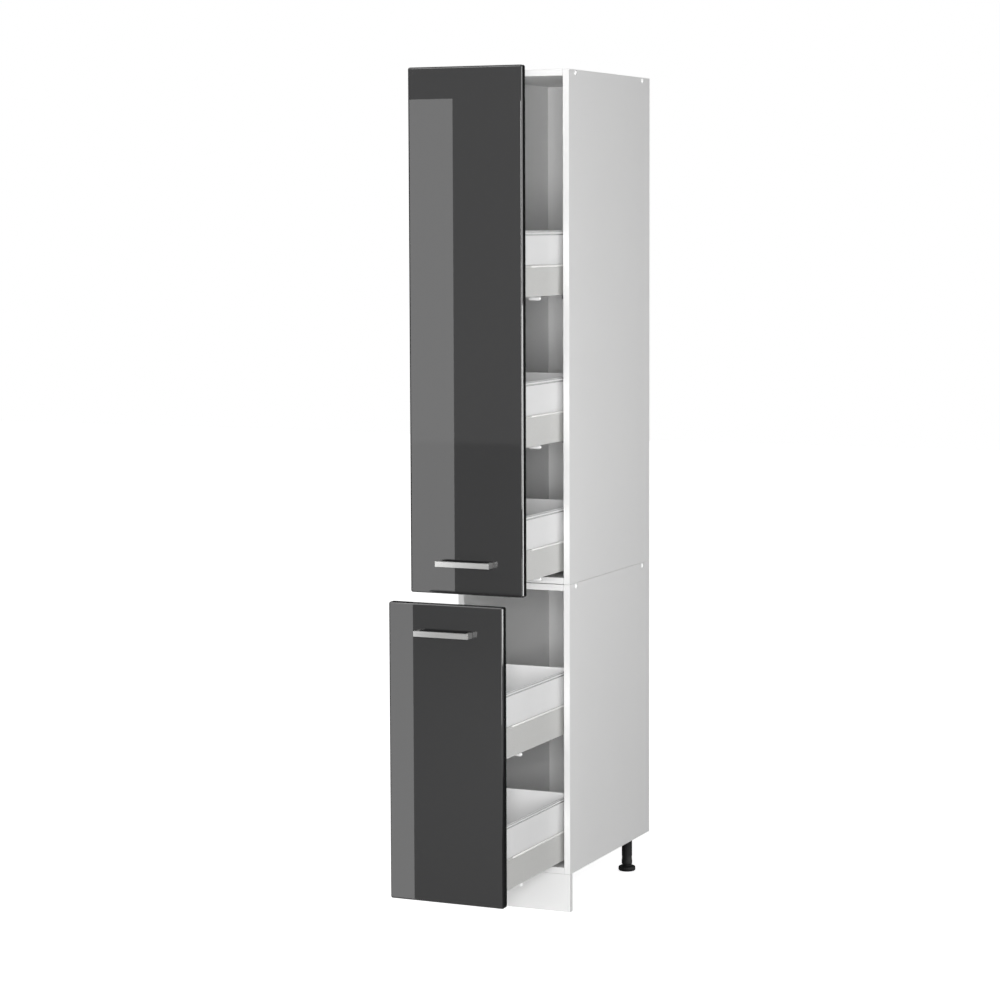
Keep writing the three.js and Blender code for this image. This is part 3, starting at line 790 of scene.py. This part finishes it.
for name, trays in trays_of.items():
    for number in trays:
        node = f"tray_{number}_frame"
        low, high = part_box(node)
        outer_x = high.x - bead_reach
        back_y = high.y - bead_reach
        edges = (-outer_x, outer_x, low.y, back_y)
        bottom, top = low.z, low.z + skirt_height
        under_bead = top - bead_height
        skirt = [
            (0.0005, bottom), (0.0, bottom + 0.0005), (0.0, under_bead - 0.0011),
            (0.0009, under_bead - 0.0008), (0.0009, under_bead + 0.0003), (0.0, under_bead + 0.0006),
            (0.0, top - 0.0006), (0.0006, top), (sheet - 0.0004, top),
            (sheet, top - 0.0004), (sheet, bottom + 0.0005), (sheet - 0.0005, bottom),
        ]
        work = bmesh.new()
        hollow_loft(work, [ring_at(edges, inset, frame_corner - inset, z) for inset, z in skirt])
        piece = solid_object(f"tray_{number}_skirt", work, [frame_coat])
        work = bmesh.new()
        for track in (-track_offset, track_offset):
            notch = rectangle(track - notch_half, track + notch_half, back_y - overcut, back_y + overcut)
            prism(work, notch, bottom - overcut, notch_top + overcut)
        cutter = solid_object("notches", work, [frame_coat])
        cut = piece.modifiers.new("notches", "BOOLEAN")
        cut.operation = "DIFFERENCE"
        cut.solver = "EXACT"
        cut.object = cutter
        piece = level_normals(piece)
        bpy.data.objects.remove(cutter)
        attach(piece, f"{name}_pull_out")
        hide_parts(node)
        # The rolled bead follows the skirt's top edge from one side's start round the back to the other's
        start_y = low.y + bead_start
        arc = rounded_outline(-outer_x, outer_x, low.y, back_y, frame_corner, frame_corner_steps)
        path = [(outer_x, start_y), *[point for point in arc if point[1] > start_y], (-outer_x, start_y)]
        middle = top - bead_height / 2
        section = []
        for i in range(bead_steps + 1):
            a = math.radians(-90 + 180 * i / bead_steps)
            section.append((bead_off + bead_bulge * math.cos(a), middle + bead_height / 2 * math.sin(a)))
        section += [(-bead_sunk, top), (-bead_sunk, under_bead)]
        rings = []
        for index, (x, y) in enumerate(path):
            before = Vector(path[max(index - 1, 0)])
            after = Vector(path[min(index + 1, len(path) - 1)])
            along = (after - before).normalized()
            rings.append([(x + along.y * out, y - along.x * out, z) for out, z in section])
        tips = []
        for index in (0, -1):
            skirt_x = path[index][0]
            tips.append([
                (skirt_x + (x - skirt_x) * tip_share, y - tip_length, middle + (z - middle) * tip_share)
                for x, y, z in rings[index]
            ])
        work = bmesh.new()
        loft(work, [tips[0], *rings, tips[1]])
        # The bead takes the lighter coat, a painted highlight.
        piece = solid_object(f"tray_{number}_bead", work, [bead_coat], crisp=60)
        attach(piece, f"{name}_pull_out")
        # Floor with the runners' channels folded under it
        work = bmesh.new()
        floor_z = bottom + floor_rise
        inset, corner = sheet + floor_gap, frame_corner - sheet
        loft(work, [ring_at(edges, inset, corner, z) for z in (floor_z, floor_z + sheet)])
        start_y = low.y + sheet + channel_gap
        for track in (-track_offset, track_offset):
            for hand in (-1, 1):
                outline = [(track + hand * x, bottom + z) for x, z in channel_wall]
                prism(work, outline, start_y, back_y - channel_gap - start_y, upright=False)
        piece = level_normals(solid_object(f"tray_{number}_floor", work, [frame_coat]))
        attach(piece, f"{name}_pull_out")


# Bins
# A moulded white plastic bin stands in each frame: drafted walls, a thick rounded rim, rounded inside
# corners, and two round-ended lugs that hook under the frame. One groove runs round below the rim and one
# below its lip. The faces in both grooves are painted a mid grey as painted shade, and made duller.
white_plastic = moulded_plastic("white_plastic", (0.9, 0.9, 0.9), 0.42, 1100.0, 0.0002)
# Painted shade: the grooves' faces get a mid grey copy of the white plastic, standing in for the shadow in
# them.
groove_shade_plastic = moulded_plastic("white_plastic_in_the_grooves", (0.5, 0.5, 0.5), 0.7, 1100.0, 0.0002)
bin_seat, bin_height, wall_inset, wall, draft = 0.0218, 0.156, 0.0025, 0.0025, 0.002
foot_round, floor_round, rim_round, lip_round, brim_round = 0.003, 0.006, 0.0026, 0.0008, 0.0016
rim_height, rim_groove, lip_height, lip_groove = 0.0075, 0.0019, 0.001, 0.0022
least_corner, bin_corner_steps = 0.004, 12
peg_radius, peg_reach, peg_ease, peg_setback, peg_drop = 0.00475, 0.0305, 0.0006, 0.1305, 0.00045
peg_sides, post_half, post_rise, post_overlap = 24, 0.004, 0.002, 0.003
peg_profile = [(0, 0), (peg_radius - peg_ease, 0), (peg_radius, peg_ease)]
for degrees in range(0, 90, 15):
    a = math.radians(degrees)
    peg_profile.append((peg_radius * math.cos(a), peg_reach - peg_radius + peg_radius * math.sin(a)))
peg_profile.append((0, peg_reach))


def rounding(inset, z, radius, start, stop, steps):
    """Points of a quarter round, as (inset, height) pairs; angle 0 points outwards and 90 up."""
    points = []
    for i in range(steps + 1):
        a = math.radians(start + (stop - start) * i / steps)
        points.append((inset - radius * math.cos(a), z + radius * math.sin(a)))
    return points


for name, trays in trays_of.items():
    for number in trays:
        node = f"tray_{number}_bin"
        low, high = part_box(node)
        frame_low, frame_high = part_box(f"tray_{number}_frame")
        outer_x = frame_high.x - bead_reach
        edges = (-outer_x, outer_x, low.y, high.y)
        bottom = frame_low.z
        seat_z, rim_z = bottom + bin_seat, bottom + bin_height
        under_rim, lip_z = rim_z - rim_height, rim_z - lip_height
        outside_foot = wall_inset + draft
        profile = rounding(outside_foot + foot_round, seat_z + foot_round, foot_round, -90, 0, 4)
        grooves = [len(profile)]
        profile += [(wall_inset, under_rim - 0.0034), (wall_inset + rim_groove, under_rim - 0.0028)]
        profile += [(wall_inset + rim_groove, under_rim)]
        profile += rounding(rim_round, under_rim + rim_round, rim_round, -90, 0, 4)
        grooves += [len(profile)]
        profile += [(0.0003, lip_z - 0.0022), (lip_groove, lip_z - 0.0019)]
        profile += [(lip_groove, lip_z - 0.0002), (lip_round, lip_z)]
        profile += rounding(2 * lip_round, rim_z - lip_round, lip_round, 0, 90, 3)
        profile += rounding(wall_inset + wall - brim_round, rim_z - brim_round, brim_round, 90, 180, 4)
        inside_foot = outside_foot + wall + floor_round
        profile += rounding(inside_foot, seat_z + wall + floor_round, floor_round, 0, -90, 6)
        rings = []
        for inset, z in profile:
            corner = max(frame_corner - inset / 2, least_corner)
            rings.append(ring_at(edges, inset, corner, z, bin_corner_steps))
        work = bmesh.new()
        loft(work, rings)
        work.faces.ensure_lookup_table()
        # The groove faces take the grey plastic: painted shade.
        for first in grooves:
            for i in range(first * len(rings[0]), (first + 3) * len(rings[0])):
                work.faces[i].material_index = 1
        skins = [white_plastic, groove_shade_plastic]
        piece = level_normals(solid_object(f"tray_{number}_bin_moulded", work, skins, crisp=50))
        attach(piece, f"{name}_pull_out")
        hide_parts(node)
        work = bmesh.new()
        for side in (-1, 1):
            peg_z = bottom - peg_drop - peg_radius
            at = Vector((side * (outer_x - peg_reach), frame_low.y + peg_setback, peg_z))
            peg = turned_work(peg_profile, peg_sides)
            peg.transform(Matrix.Translation(at) @ Matrix.Rotation(math.radians(90 * side), 4, "Y"))
            mesh = bpy.data.meshes.new("peg")
            peg.to_mesh(mesh)
            peg.free()
            work.from_mesh(mesh)
            bpy.data.meshes.remove(mesh)
            post_x = side * (outer_x - peg_reach / 2 - post_half)
            post = rectangle(post_x - post_half, post_x + post_half, at.y - post_half, at.y + post_half)
            prism(work, post, peg_z + post_rise, bin_seat + post_overlap)
        lugs = solid_object(f"tray_{number}_bin_lugs", work, [white_plastic], crisp=50)
        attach(lugs, f"{name}_pull_out")


# Runners
# Every tray runs on a pair of full-extension under-mount runners in zinc-plated steel: a rail screwed to
# the side panel and a middle rail, whose balls run between them.
def zinc_plate():
    material, tree, shader = shader_of("zinc_plate", Metallic=1.0)
    spangle = texture_on(tree, "Voronoi", Scale=260.0)
    mottle(tree, shader, spangle.outputs["Color"], (0.46, 0.47, 0.49), (0.6, 0.61, 0.62))
    vary_roughness(tree, shader, spangle.outputs["Distance"], smoothest=0.28, roughest=0.44)
    return material


zinc = zinc_plate()
web, first_setback, screw_pitch, screw_drop, screw_count = 0.002, 0.13, 0.128, 0.012, 3
for number in (*trays_of["upper"], *trays_of["lower"]):
    for side_name, side in (("left", -1), ("right", 1)):
        rail = f"tray_{number}_{side_name}_cabinet_rail"
        nodes[rail].data.materials[0] = zinc
        nodes[f"tray_{number}_{side_name}_middle_rail"].data.materials[0] = zinc
        low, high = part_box(rail)
        wall_x = high.x if side > 0 else low.x
        screw = turned_part("screw", screw_profile, screw_sides, screw_steel, -90 * side, "Y")
        start = (wall_x - side * web, low.y + first_setback, high.z - screw_drop)
        rows = [(screw_count, start, (0, screw_pitch, 0))]
        screws = row_of(f"tray_{number}_{side_name}_rail_screws", screw, rows, screw_steel)
        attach(screws, "carcass")
        bpy.data.objects.remove(screw)
